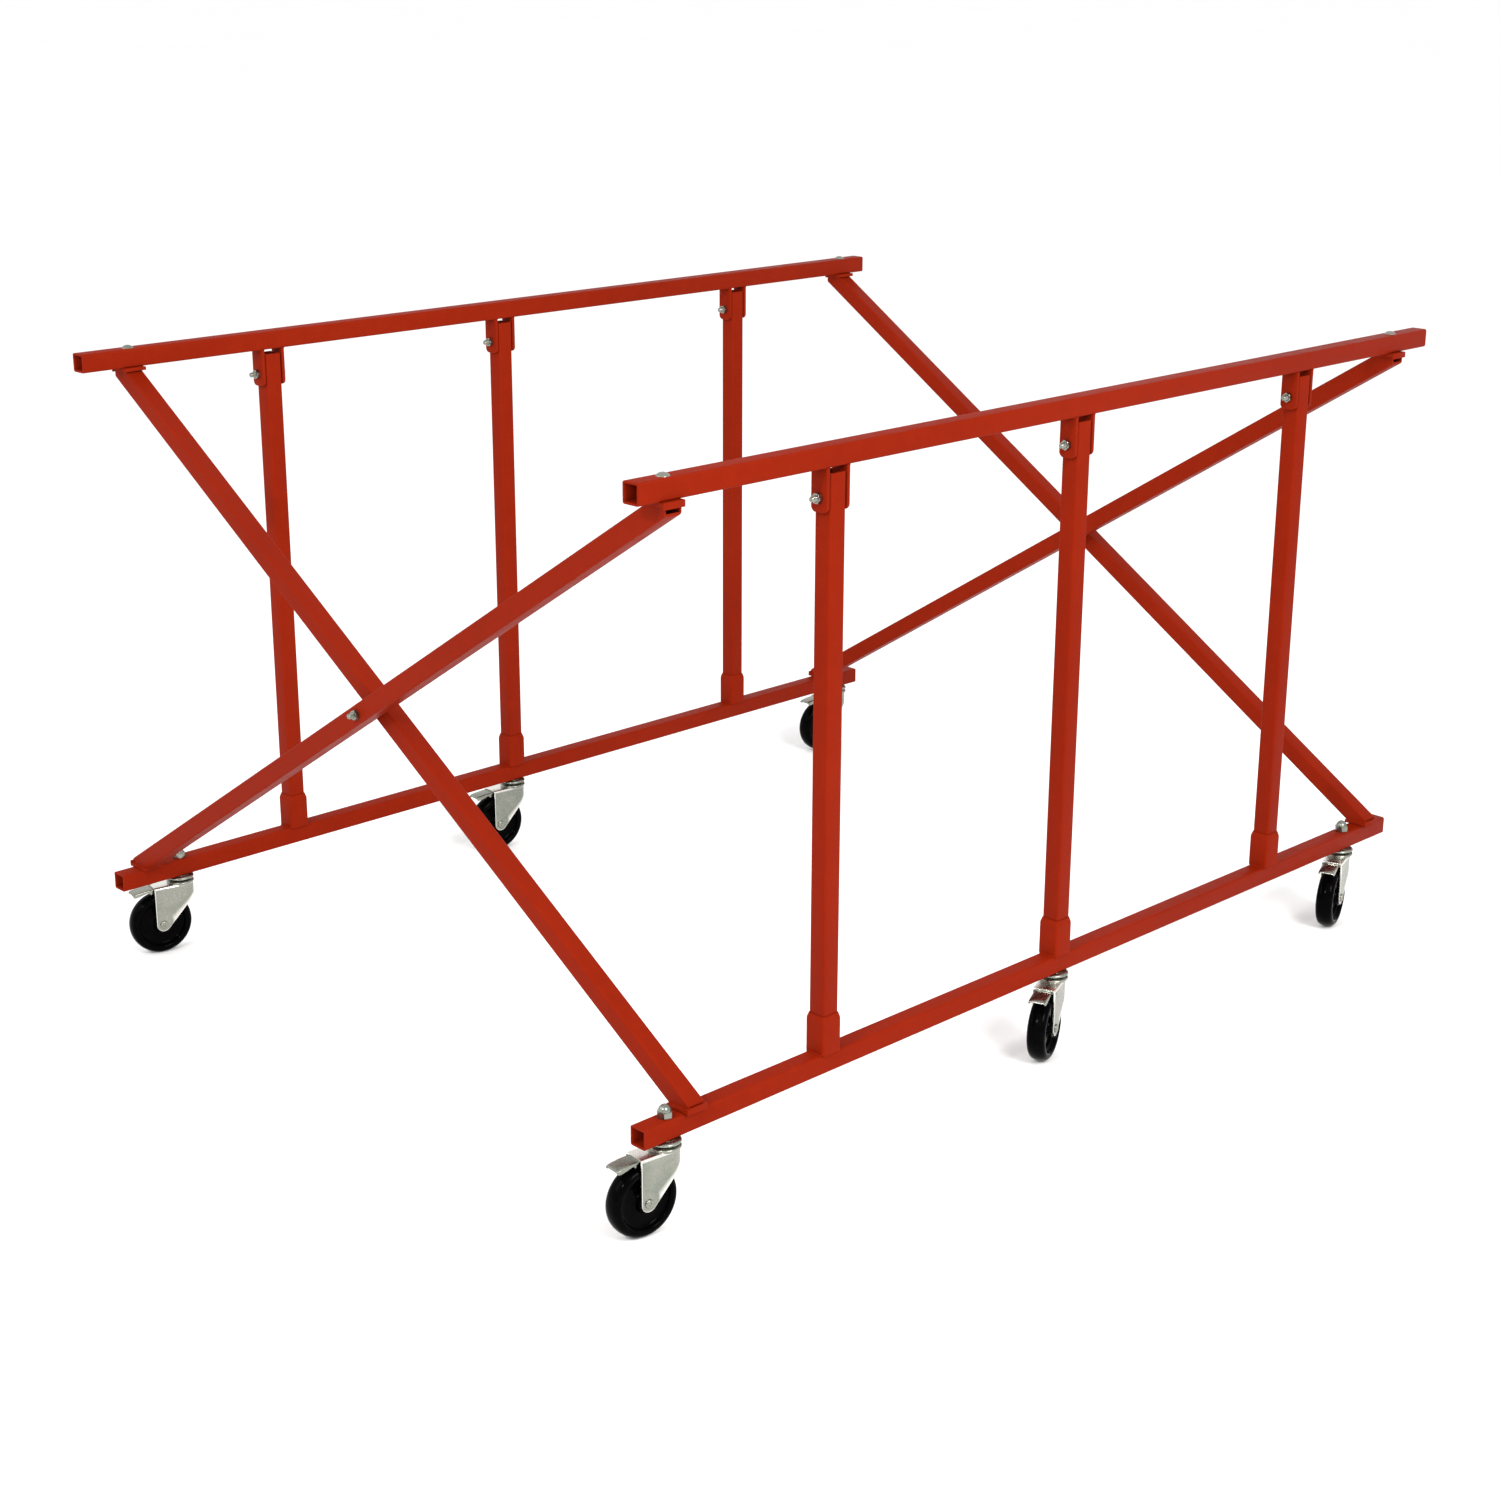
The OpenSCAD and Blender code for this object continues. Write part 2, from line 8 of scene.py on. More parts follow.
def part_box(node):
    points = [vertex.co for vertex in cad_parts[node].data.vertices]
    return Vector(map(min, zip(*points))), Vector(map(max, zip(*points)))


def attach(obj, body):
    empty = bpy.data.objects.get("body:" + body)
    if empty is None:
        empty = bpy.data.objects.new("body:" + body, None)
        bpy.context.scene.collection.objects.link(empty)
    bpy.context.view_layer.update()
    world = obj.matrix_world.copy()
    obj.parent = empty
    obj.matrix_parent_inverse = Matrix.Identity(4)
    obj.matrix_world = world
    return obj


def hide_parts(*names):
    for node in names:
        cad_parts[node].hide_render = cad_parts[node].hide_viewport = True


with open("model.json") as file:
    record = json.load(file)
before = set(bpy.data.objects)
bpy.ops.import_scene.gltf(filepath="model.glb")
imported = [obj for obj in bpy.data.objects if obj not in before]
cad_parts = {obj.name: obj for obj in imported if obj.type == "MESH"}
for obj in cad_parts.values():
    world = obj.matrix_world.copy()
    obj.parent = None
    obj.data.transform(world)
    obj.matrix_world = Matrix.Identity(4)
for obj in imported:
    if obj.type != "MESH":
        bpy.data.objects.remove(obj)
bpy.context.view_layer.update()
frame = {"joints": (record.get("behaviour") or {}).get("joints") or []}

# ---- studio ----
# The stand is on a plain pale floor under a soft light from the right, a small
# one that puts glints on the fasteners, and a wide one from the front left. The
# camera looks down at one corner.
stage = bpy.context.scene
stage.view_settings.view_transform = "Standard"
bpy.ops.object.camera_add(location=(2.7639, -2.7332, 1.6029),
                          rotation=(radians(71.78), radians(-0.195), radians(45.709)))
camera = bpy.context.object
camera.data.lens = 60.67
camera.data.sensor_width = 36
camera.data.clip_end = 400
stage.camera = camera


def soft_light(name, place, aim, size, power, tint):
    bpy.ops.object.light_add(type="AREA", location=place)
    lamp = bpy.context.object
    lamp.name = name
    lamp.data.shape = "SQUARE"
    lamp.data.size = size
    lamp.data.energy = power
    lamp.data.color = tint
    lamp.rotation_euler = (Vector(aim) - Vector(place)).to_track_quat("-Z", "Y").to_euler()


soft_light("key_light", (4.4, -0.9, 3.6), (0, 0, 0.5), 1.8, 190, (1, 0.99, 0.97))
soft_light("glint_light", (1.4, -4.4, 3.4), (0, 0, 0.3), 0.35, 70, (1, 1, 1))
soft_light("front_light", (-1.8, -4.0, 3.0), (0, 0, 0.5), 2.4, 40, (0.98, 0.99, 1))

sky = stage.world or bpy.data.worlds.new("studio_sky")
stage.world = sky
sky.use_nodes = True
sky.node_tree.nodes["Background"].inputs["Color"].default_value = (1, 1, 1, 1)
sky.node_tree.nodes["Background"].inputs["Strength"].default_value = 1.04


class Tone:
    """A shader value that takes ordinary arithmetic."""

    def __init__(self, tree, out):
        self.tree, self.out = tree, out

    def node(self, kind, settings=None, **inputs):
        made = self.tree.nodes.new(kind)
        for key, value in (settings or {}).items():
            setattr(made, key, value)
        for key, value in inputs.items():
            socket = made.inputs[int(key[1:])] if key[0] == "i" and key[1:].isdigit() \
                else made.inputs[key.replace("_", " ")]
            if isinstance(value, Tone):
                self.tree.links.new(value.out, socket)
            else:
                socket.default_value = value
        return made

    def maths(self, operation, a, b):
        made = self.node("ShaderNodeMath", {"operation": operation}, i0=a, i1=b)
        return Tone(self.tree, made.outputs[0])

    def __add__(self, b):
        return self.maths("ADD", self, b)

    __radd__ = __add__

    def __mul__(self, b):
        return self.maths("MULTIPLY", self, b)

    __rmul__ = __mul__

    def __sub__(self, b):
        return self.maths("SUBTRACT", self, b)

    def __rsub__(self, b):
        return self.maths("SUBTRACT", b, self)

    def between(self, low, high):
        made = self.node("ShaderNodeMapRange", {"interpolation_type": "SMOOTHSTEP"},
                         Value=self, From_Min=low, From_Max=high)
        return Tone(self.tree, made.outputs["Result"])

    def blend(self, a, b):
        made = self.node("ShaderNodeMix", {"data_type": "RGBA"}, Factor=self, i6=a, i7=b)
        return Tone(self.tree, made.outputs[2])


def new_finish(name):
    """An empty finish: its material, its shader and the place on the piece."""
    finish = bpy.data.materials.new(name)
    finish.use_nodes = True
    tree = finish.node_tree
    place = Tone(tree, Tone(tree, None).node("ShaderNodeTexCoord").outputs["Object"])
    return finish, tree.nodes["Principled BSDF"], place


def noise(place, scale, detail=2.0, rough=0.5):
    made = place.node("ShaderNodeTexNoise", None, Vector=place, Scale=scale, Detail=detail, Roughness=rough)
    return Tone(place.tree, made.outputs["Fac"])


def feed(shader, name, tone):
    tone.tree.links.new(tone.out, shader.inputs[name])


def bump(shader, height, strength, distance):
    made = height.node("ShaderNodeBump", None, Height=height, Strength=strength, Distance=distance)
    feed(shader, "Normal", Tone(height.tree, made.outputs["Normal"]))


bpy.ops.object.select_all(action="DESELECT")
bpy.ops.mesh.primitive_plane_add(size=300, location=(0, 0, 0))
floor = bpy.context.object
floor.name = "floor"
floor_grey, floor_white = (0.955, 0.955, 0.955, 1), (0.965, 0.965, 0.965, 1)
floor_paint, shader, place = new_finish("floor_paint")
feed(shader, "Base Color", noise(place, 0.7).between(0.2, 0.8).blend(floor_grey, floor_white))
shader.inputs["Roughness"].default_value = 0.9
shader.inputs["Specular IOR Level"].default_value = 0.1
floor.data.materials.append(floor_paint)

# ---- long rails ----
# Four lengths of 28 mm square steel tube, sawn square and left open at the
# ends, and coated with an orange-red powder that keeps a faint orange peel.
mm = 0.001
tube = 28.0 * mm
wall = 3.0 * mm
corner = 3.2 * mm
sawn_edge = 0.4 * mm
powder_deep, powder_light = (0.190, 0.0096, 0.0012, 1), (0.224, 0.0122, 0.0018, 1)

powder, shader, place = new_finish("red_powder_coat")
cloud = noise(place, 2.6, 3).between(0.3, 0.7)
streak = noise(place, 38, 4, 0.6).between(0.35, 0.75)
feed(shader, "Base Color", (cloud * 0.6 + streak * 0.4).blend(powder_deep, powder_light))
feed(shader, "Roughness", streak * 0.1 + 0.46)
shader.inputs["Specular IOR Level"].default_value = 0.03
peel = noise(place, 520, 2) * 0.7 + noise(place, 1500, 1) * 0.3
bump(shader, peel, 0.22, 0.00025)


def clear():
    if bpy.context.mode != "OBJECT":
        bpy.ops.object.mode_set(mode="OBJECT")
    bpy.ops.object.select_all(action="DESELECT")


def pick(piece, kind, test):
    """Opens the piece with only the vertices, edges or faces that pass the test selected."""
    clear()
    piece.select_set(True)
    bpy.context.view_layer.objects.active = piece
    bpy.ops.object.mode_set(mode="EDIT")
    bpy.ops.mesh.select_mode(type=kind)
    bpy.ops.mesh.select_all(action="DESELECT")
    bpy.ops.object.mode_set(mode="OBJECT")
    mesh = piece.data
    if kind == "VERT":
        for v in mesh.vertices:
            v.select = test(v.co)
    elif kind == "EDGE":
        for e in mesh.edges:
            a, b = (mesh.vertices[i].co for i in e.vertices)
            e.select = test((a + b) / 2, (b - a).normalized())
    else:
        for f in mesh.polygons:
            f.select = test(f.center, f.normal)
    bpy.ops.object.mode_set(mode="EDIT")


def close_up(piece, angle=35):
    """Back to object mode, place into the mesh, and shading softened across shallow edges."""
    clear()
    piece.select_set(True)
    bpy.context.view_layer.objects.active = piece
    bpy.ops.object.transform_apply(location=True, rotation=True, scale=True)
    bpy.ops.object.shade_smooth_by_angle(angle=radians(angle))
    return piece


def modify(piece, kind, **settings):
    clear()
    piece.select_set(True)
    bpy.context.view_layer.objects.active = piece
    made = piece.modifiers.new(kind.lower(), kind)
    for key, value in settings.items():
        setattr(made, key, value)
    bpy.ops.object.modifier_apply(modifier=made.name)


def block(name, size, centre=(0, 0, 0)):
    clear()
    bpy.ops.mesh.primitive_cube_add(size=1)
    piece = bpy.context.object
    piece.name = name
    bpy.ops.object.mode_set(mode="EDIT")
    bpy.ops.transform.resize(value=size)
    bpy.ops.transform.translate(value=centre)
    bpy.ops.object.mode_set(mode="OBJECT")
    return piece


def square_tube(name, length):
    """Open square tube along Z, about the origin."""
    piece = block(name, (tube, tube, length))
    pick(piece, "EDGE", lambda at, way: abs(way.z) > 0.9)
    bpy.ops.mesh.bevel(offset=corner, segments=5, affect="EDGES")
    pick(piece, "FACE", lambda at, out: abs(out.z) > 0.9)
    bpy.ops.mesh.delete(type="FACE")
    bpy.ops.object.mode_set(mode="OBJECT")
    modify(piece, "SOLIDIFY", thickness=wall, offset=-1, use_even_offset=True)
    modify(piece, "BEVEL", width=sawn_edge, segments=2, limit_method="ANGLE", angle_limit=radians(60))
    return close_up(piece)


def copy_of(piece, name, matrix):
    made = piece.copy()
    made.data = piece.data.copy()
    made.name = name
    made.data.name = name
    bpy.context.scene.collection.objects.link(made)
    made.data.transform(matrix)
    return made


def fit_out(piece, body, finish, slot, *nodes):
    """Gives a finished piece its finish, its body and the solids that it stands for."""
    piece.data.materials.clear()
    piece.data.materials.append(finish)
    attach(piece, body)
    if nodes:
        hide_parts(*nodes)
    return piece


def middle(node):
    low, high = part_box(node)
    return (low + high) / 2


def drop(piece):
    bpy.data.objects.remove(piece, do_unlink=True)


rail_low, rail_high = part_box("rail_top_left")
rail_pattern = square_tube("rail_pattern", rail_high.y - rail_low.y)
laid_down = Matrix.Rotation(pi / 2, 4, "X")
for node in ("rail_top_left", "rail_top_right", "rail_bottom_left", "rail_bottom_right"):
    rail = copy_of(rail_pattern, "long_" + node, Matrix.Translation(middle(node)) @ laid_down)
    fit_out(rail, "frame", powder, "red_paint", node)
drop(rail_pattern)

# ---- posts ----
# Six uprights of the same tube. Each drops into a socket on the lower rail and
# is held between two lugs under the upper rail by one cross bolt. The middle
# ones are cut a little shorter, to stand over their caster's nut.
sides, ends = ("left", "right"), ("near", "mid", "far")
post_nodes = [f"post_{end}_{side}" for side in sides for end in ends]
for length_of, share in (("post_near_left", ("near", "far")), ("post_mid_left", ("mid",))):
    low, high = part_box(length_of)
    post_pattern = square_tube("post_pattern", high.z - low.z)
    for node in post_nodes:
        if node.split("_")[1] in share:
            post = copy_of(post_pattern, "upright_" + node, Matrix.Translation(middle(node)))
            fit_out(post, "frame", powder, "red_paint", node)
    drop(post_pattern)

# ---- weld beads ----
# The lugs, sockets and brace plates are welded before coating. Each bead is a
# row of small overlapping ripples under the same powder.
bead_half = 2.1 * mm
ripple = 1.7 * mm
bead_len = 24 * mm
ring_swell, first_swell, last_swell = 1.16, 1.5, 0.55
clear()
bpy.ops.mesh.primitive_circle_add(vertices=12, radius=bead_half * 0.55, fill_type="NGON")
bead = bpy.context.object
bead.name = "bead_pattern"
bpy.ops.object.mode_set(mode="EDIT")
ripples = round(bead_len / ripple)
for i in range(ripples):
    base = i * ripple
    swell_in = first_swell if i == 0 else ring_swell
    swell_out = last_swell if i == ripples - 1 else 1 / ring_swell
    for rise, swell in ((0.25, swell_in), (0.45, 1.0), (0.3, swell_out)):
        bpy.ops.mesh.extrude_region_move(TRANSFORM_OT_translate={"value": (0, 0, rise * ripple)})
        base += rise * ripple
        bpy.ops.transform.resize(value=(swell, swell, 1), center_override=(0, 0, base))
bpy.ops.mesh.select_all(action="SELECT")
bpy.ops.mesh.normals_make_consistent(inside=False)
bpy.ops.object.mode_set(mode="OBJECT")
bead.data.transform(Matrix.Translation((0, 0, -bead_len / 2)))
close_up(bead, 60)


def weld(beads, start, end, thick=1.0):
    """Adds a bead from start to end to the list."""
    start, end = Vector(start), Vector(end)
    turn = (end - start).to_track_quat("Z", "Y").to_matrix().to_4x4()
    stretch = Matrix.Diagonal((thick, thick, (end - start).length / bead_len, 1))
    beads.append(copy_of(bead, "bead", Matrix.Translation((start + end) / 2) @ turn @ stretch))


def join(name, pieces):
    clear()
    for p in pieces:
        p.select_set(True)
    bpy.context.view_layer.objects.active = pieces[0]
    if len(pieces) > 1:
        bpy.ops.object.join()
    joined = bpy.context.object
    joined.name = name
    joined.data.name = name
    return joined


# ---- post lugs ----
# Pairs of flat steel lugs, 5 mm thick with rounded lower corners, welded under
# the upper rail on both faces of each post and drilled for its bolt.
lug_t = 5 * mm
lug_len = 58 * mm
lug_gap = 1.8 * mm
lug_round = 8 * mm
lug_edge = 0.6 * mm
bead_reach = 0.46 * tube
lug = block("lug_pattern", (tube, lug_t, lug_len))
pick(lug, "EDGE", lambda at, way: abs(way.y) > 0.9 and at.z < 0)
bpy.ops.mesh.bevel(offset=lug_round, segments=8, affect="EDGES")
bpy.ops.object.mode_set(mode="OBJECT")
modify(lug, "BEVEL", width=lug_edge, segments=2, limit_method="ANGLE", angle_limit=radians(50))
close_up(lug)
for side in sides:
    lugs, beads = [], []
    under_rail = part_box("rail_top_" + side)[0].z
    for end in ends:
        post_at = middle(f"post_{end}_{side}")
        for way in (-1, 1):
            y = post_at.y + way * (tube / 2 + lug_gap + lug_t / 2)
            lugs.append(copy_of(lug, "lug", Matrix.Translation((post_at.x, y, under_rail - lug_len / 2))))
            y_out = y + way * lug_t / 2
            weld(beads, (post_at.x - bead_reach, y_out, under_rail),
                 (post_at.x + bead_reach, y_out, under_rail))
            for edge in (-1, 1):
                x_out = post_at.x + edge * (tube / 2 - lug_edge)
                weld(beads, (x_out, y - lug_t / 2, under_rail), (x_out, y + lug_t / 2, under_rail), 0.6)
    fit_out(join("lugs_" + side, lugs), "frame", powder, "red_paint", "post_lugs_" + side)
    fit_out(join("beads_lugs_" + side, beads), "frame", powder, "red_paint")
drop(lug)

# ---- post sockets ----
# Short lengths of a larger tube that the posts drop into. The mouth is swaged
# in towards the post, and the foot is welded to the lower rail.
socket_w = 34.35 * mm
socket_h = 56 * mm
swage = 8 * mm
mouth = 29.8 * mm
socket_round = 4 * mm
socket_skin = 0.8 * mm
socket = block("socket_pattern", (socket_w, socket_w, socket_h - swage), (0, 0, (socket_h - swage) / 2))
pick(socket, "EDGE", lambda at, way: abs(way.z) > 0.9)
bpy.ops.mesh.bevel(offset=socket_round, segments=5, affect="EDGES")
pick(socket, "FACE", lambda at, out: out.z < -0.9)
bpy.ops.mesh.delete(type="FACE")
pick(socket, "FACE", lambda at, out: out.z > 0.9)
swaging = [(0.12, socket_w - 0.3 * mm), (0.3, socket_w - 1.6 * mm), (0.4, mouth + 0.9 * mm), (0.18, mouth)]
for step, width in swaging:
    bpy.ops.mesh.extrude_region_move(TRANSFORM_OT_translate={"value": (0, 0, step * swage)})
    bpy.ops.object.mode_set(mode="OBJECT")
    ring = [v for v in socket.data.vertices if v.select]
    k = width / 2 / max(v.co.x for v in ring)
    for v in ring:
        v.co.x *= k
        v.co.y *= k
    bpy.ops.object.mode_set(mode="EDIT")
bpy.ops.mesh.delete(type="FACE")
bpy.ops.object.mode_set(mode="OBJECT")
modify(socket, "SOLIDIFY", thickness=socket_skin, offset=-1, use_even_offset=True)
close_up(socket, 30)
for side in sides:
    sockets, beads = [], []
    on_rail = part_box("rail_bottom_" + side)[1].z
    side_bead_z = on_rail - 0.4 * mm
    for end in ends:
        at = middle(f"post_{end}_{side}")
        sockets.append(copy_of(socket, "socket", Matrix.Translation((at.x, at.y, on_rail))))
        for way in (-1, 1):
            y = at.y + way * socket_w / 2
            weld(beads, (at.x - tube * 0.48, y, on_rail), (at.x + tube * 0.48, y, on_rail))
            x = at.x + way * (tube / 2 + 0.2 * mm)
            for half in (-1, 1):
                weld(beads, (x, at.y, side_bead_z), (x, at.y + half * socket_w * 0.46, side_bead_z), 0.9)
    fit_out(join("sockets_" + side, sockets), "frame", powder, "red_paint", "post_sockets_" + side)
    fit_out(join("beads_sockets_" + side, beads), "frame", powder, "red_paint")
drop(socket)

# ---- brace arms ----
# Two arms of the square tube cross in an X at each end. Their ends are sawn
# level to sit on an end plate, and upright behind that plate's lip.
plate_w, plate_len, plate_t = 40 * mm, 35 * mm, 5 * mm
lip_rise, lip_t = 3.5 * mm, 3 * mm
frame_w = middle("rail_top_right").x - middle("rail_top_left").x
frame_x = (middle("rail_top_right").x + middle("rail_top_left").x) / 2
z_high, z_low = middle("rail_top_left").z, middle("rail_bottom_left").z
arm_drop, arm_rise = 26 * mm, 21 * mm
arm_angle = atan2(z_high - z_low - arm_drop - arm_rise, frame_w)
arm_mid = (z_high + z_low - arm_drop + arm_rise) / 2
arm_ways = {"arm_near_inner": 1, "arm_near_outer": -1, "arm_far_outer": 1, "arm_far_inner": -1}
face = tube / 2 + plate_t
spare = 4 * tube
arm_pattern = square_tube("arm_pattern", frame_w / cos(arm_angle) + spare)
arm_pattern.data.transform(Matrix.Translation((0, 0, arm_mid)) @ Matrix.Rotation(pi / 2 + arm_angle, 4, "Y"))
lip_face = frame_w / 2 + plate_w / 2 - lip_t
level_saw = (spare + frame_w, 2 * tube, spare)
upright_saw = (spare, 2 * tube, 2 * z_high)
cuts = [(level_saw, (0, 0, z_high - face + spare / 2)), (level_saw, (0, 0, z_low + face - spare / 2)),
        (upright_saw, (lip_face + spare / 2, 0, z_high)), (upright_saw, (-lip_face - spare / 2, 0, z_high))]
for size, centre in cuts:
    saw = block("saw", size, centre)
    modify(arm_pattern, "BOOLEAN", operation="DIFFERENCE", solver="EXACT", object=saw)
    drop(saw)
close_up(arm_pattern)
for node, way in arm_ways.items():
    facing = Matrix.Diagonal((way, 1, 1, 1))
    arm = copy_of(arm_pattern, "brace_" + node, Matrix.Translation((frame_x, middle(node).y, 0)) @ facing)
    if way < 0:
        arm.data.flip_normals()
    fit_out(arm, "frame", powder, "red_paint", node)
drop(arm_pattern)

# ---- brace end plates ----
# A flat plate with one turned lip is welded across each arm end and lies on the
# rail, where a single upright bolt holds it.
lip_round, plate_edge = 2.2 * mm, 0.5 * mm
toe_short = 1.5 * mm
plate = block("plate_pattern", (plate_w, plate_len, plate_t), (0, 0, tube / 2 + plate_t / 2))
lip = block("lip", (lip_t, plate_len, plate_t + lip_rise),
            (plate_w / 2 - lip_t / 2, 0, tube / 2 + (plate_t + lip_rise) / 2))
modify(plate, "BOOLEAN", operation="UNION", solver="EXACT", object=lip)
drop(lip)
pick(plate, "EDGE", lambda at, way: abs(way.y) > 0.9 and at.x > plate_w / 2 - mm and at.z < tube / 2 + mm)
bpy.ops.mesh.bevel(offset=lip_round, segments=5, affect="EDGES")
bpy.ops.object.mode_set(mode="OBJECT")
modify(plate, "BEVEL", width=plate_edge, segments=2, limit_method="ANGLE", angle_limit=radians(50))
close_up(plate)
slope = sin(arm_angle) / cos(arm_angle)
for end in ("near", "far"):
    plates, beads = [], []
    for node, way in arm_ways.items():
        if end not in node:
            continue
        y = middle(node).y
        for top in (1, 0):
            side = -way if top else way
            x = frame_x + side * frame_w / 2
            z = z_high if top else z_low
            flip = Matrix.Diagonal((side, 1, -1 if top else 1, 1))
            made = copy_of(plate, "plate", Matrix.Translation((x, y, z)) @ flip)
            if side * (-1 if top else 1) < 0:
                made.data.flip_normals()
            plates.append(made)
            # one bead along each side of the arm, from the lip to the arm's toe
            z_face = z - face if top else z + face
            reach = tube / 2 / cos(arm_angle)
            rise = face - arm_drop if top else face - arm_rise
            x_toe = min((reach + rise) / slope, plate_w / 2 - toe_short)
            x_lip = x + side * (plate_w / 2 - lip_t)
            for arm_side in (-1, 1):
                y_bead = y + arm_side * tube / 2
                weld(beads, (x_lip, y_bead, z_face), (x - side * x_toe, y_bead, z_face), 0.9)
    fit_out(join("plates_" + end, plates), "frame", powder, "red_paint", "arm_plates_" + end)
    fit_out(join("beads_plates_" + end, beads), "frame", powder, "red_paint")
drop(plate)
drop(bead)

# ---- frame bolts and nuts ----
# Zinc-plated M8 steel bolts and nuts, screwed up tight: hexagon heads through
# the posts and the crossings, and low domed heads on the brace ends.
zinc_dull, zinc_light, zinc_highlight_paint = (0.20, 0.222, 0.187, 1), (0.33, 0.326, 0.285, 1), (0.80, 0.79, 0.74, 1)
plating, shader, place = new_finish("zinc_plating")
grain = noise(place, 260, 4, 0.6).between(0.3, 0.75)
cloud = noise(place, 22, 2).between(0.3, 0.7)
# painted highlight: where the rim attribute is 1, along the fork sheet's edges and the top of its fold, the
# zinc is painted a light highlight colour
rim_highlight = Tone(place.tree, place.node("ShaderNodeAttribute", {"attribute_name": "rim_highlight"}).outputs["Fac"])
plain_zinc = (cloud * 0.6 + grain * 0.4).blend(zinc_dull, zinc_light)
feed(shader, "Base Color", rim_highlight.blend(plain_zinc, zinc_highlight_paint))
feed(shader, "Roughness", grain * 0.14 + 0.22)
shader.inputs["Metallic"].default_value = 1
bump(shader, noise(place, 700, 3) * 0.5 + noise(place, 160, 2) * 0.5, 0.07, 0.0001)

bolt_r = 4 * mm
nut_af, nut_h, head_h = 13 * mm, 6.5 * mm, 5.3 * mm
pitch = 1.25 * mm
thread_out = 8 * mm
corner_cut, chamfer = 0.3, 0.75  # mm, where a hexagon's corners are turned down


def turned(name, profile, steps=48):
    """A turned piece about Z: each (radius, height) in mm is one more ring."""
    clear()
    tiny = 0.01 * mm
    r0, z0 = profile[0]
    bpy.ops.mesh.primitive_circle_add(vertices=steps, radius=max(r0 * mm, tiny), fill_type="NOTHING")
    piece = bpy.context.object
    piece.name = name
    bpy.ops.object.mode_set(mode="EDIT")
    bpy.ops.transform.translate(value=(0, 0, z0 * mm))
    for (ra, za), (rb, zb) in zip(profile, profile[1:]):
        bpy.ops.mesh.extrude_edges_move(TRANSFORM_OT_translate={"value": (0, 0, (zb - za) * mm)})
        k = max(rb * mm, tiny) / max(ra * mm, tiny)
        bpy.ops.transform.resize(value=(k, k, 1), center_override=(0, 0, zb * mm))
    bpy.ops.mesh.select_all(action="SELECT")
    bpy.ops.mesh.remove_doubles(threshold=3 * tiny)
    bpy.ops.mesh.select_all(action="SELECT")
    bpy.ops.mesh.normals_make_consistent(inside=False)
    return close_up(piece, 40)


def hexagon(name, af, height, hole):
    """Hexagon with its corners turned down at both ends, standing on z = 0."""
    clear()
    bpy.ops.mesh.primitive_cylinder_add(vertices=6, radius=af / 2 / cos(pi / 6), depth=height,
                                        location=(0, 0, height / 2))
    piece = bpy.context.object
    piece.name = name
    bpy.ops.object.transform_apply(location=True)
    r = af / mm / 2 / cos(pi / 6)
    h = height / mm
    inner = hole / mm
    end_r = af / mm / 2 - corner_cut
    profile = [(end_r, 0), (r - 0.1, chamfer), (r - 0.1, h - chamfer), (end_r, h)]
    if hole:
        profile += [(inner + 0.5, h), (inner, h - 0.5), (inner, 0.5), (inner + 0.5, 0), (end_r, 0)]
    else:
        profile = [(0, 0)] + profile + [(0, h)]
    blank = turned("blank", profile, 60)
    modify(piece, "BOOLEAN", operation="INTERSECT", solver="EXACT", object=blank)
    drop(blank)
    return close_up(piece, 30)


def thread_rings(start, length):
    """Ring profile of a rolled thread: a root, then a narrow crest, in each pitch."""
    rings = []
    r, p = bolt_r / mm, pitch / mm
    root, crest, tip = r - 0.65, r - 0.05, r - 0.9
    for i in range(int(length / mm / p)):
        z = start / mm + i * p
        rings += [(root, z), (crest, z + p * 0.45), (crest, z + p * 0.62)]
    return rings + [(tip, (start + length) / mm)]


nut = hexagon("nut_pattern", nut_af, nut_h, bolt_r + 0.05 * mm)


def hex_bolt(name, grip):
    head = hexagon("head", nut_af, head_h, 0)
    head.data.transform(Matrix.Translation((0, 0, -head_h)))
    end = grip + nut_h + thread_out
    shank = [(0, -0.2), (bolt_r / mm, -0.2), (bolt_r / mm, grip / mm - 1)]
    shank += thread_rings(grip, end - grip) + [(0, end / mm)]
    return join(name, [head, turned("shank", shank, 32)])


post_grip = tube + 2 * lug_gap + 2 * lug_t
post_bolt = hex_bolt("post_bolt_pattern", post_grip)
post_bolt_drop = 39 * mm
past_post = Matrix.Translation((0, 0, post_grip))
bolts, nuts = [], []
spin = 0
for node in post_nodes:
    at = middle(node)
    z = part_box("rail_top_left")[0].z - post_bolt_drop
    spin += 17  # degrees; no two were left at the same angle
    turn = Matrix.Rotation(radians(spin), 4, "Z")
    line = Matrix.Translation((at.x, at.y + post_grip / 2, z)) @ laid_down @ turn
    bolts.append(copy_of(post_bolt, "bolt", line))
    nuts.append(copy_of(nut, "nut", line @ past_post @ turn @ turn))
fit_out(join("post_hex_bolts", bolts), "frame", plating, "zinc", "post_bolts")
fit_out(join("post_hex_nuts", nuts), "frame", plating, "zinc", "post_nuts")
drop(post_bolt)

arm_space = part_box("arm_near_inner")[0].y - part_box("arm_near_outer")[1].y
arm_grip = 2 * tube + arm_space
centre_bolt = hex_bolt("centre_bolt_pattern", arm_grip)
space = arm_space / mm
spacer = turned("spacer_pattern", [(4.3, 0), (8.6, 0), (9, 0.4), (9, space - 0.4), (8.6, space), (4.3, space),
                                   (4.3, 0)], 40)
past_arms, past_arm = Matrix.Translation((0, 0, arm_grip)), Matrix.Translation((0, 0, tube))
lines = [Matrix.Translation((frame_x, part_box("arm_near_inner")[1].y, arm_mid)) @ laid_down,
         Matrix.Translation((frame_x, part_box("arm_far_inner")[0].y, arm_mid)) @ laid_down.inverted()]
fit_out(join("crossing_bolts", [copy_of(centre_bolt, "bolt", line) for line in lines]),
        "frame", plating, "zinc", "centre_bolts")
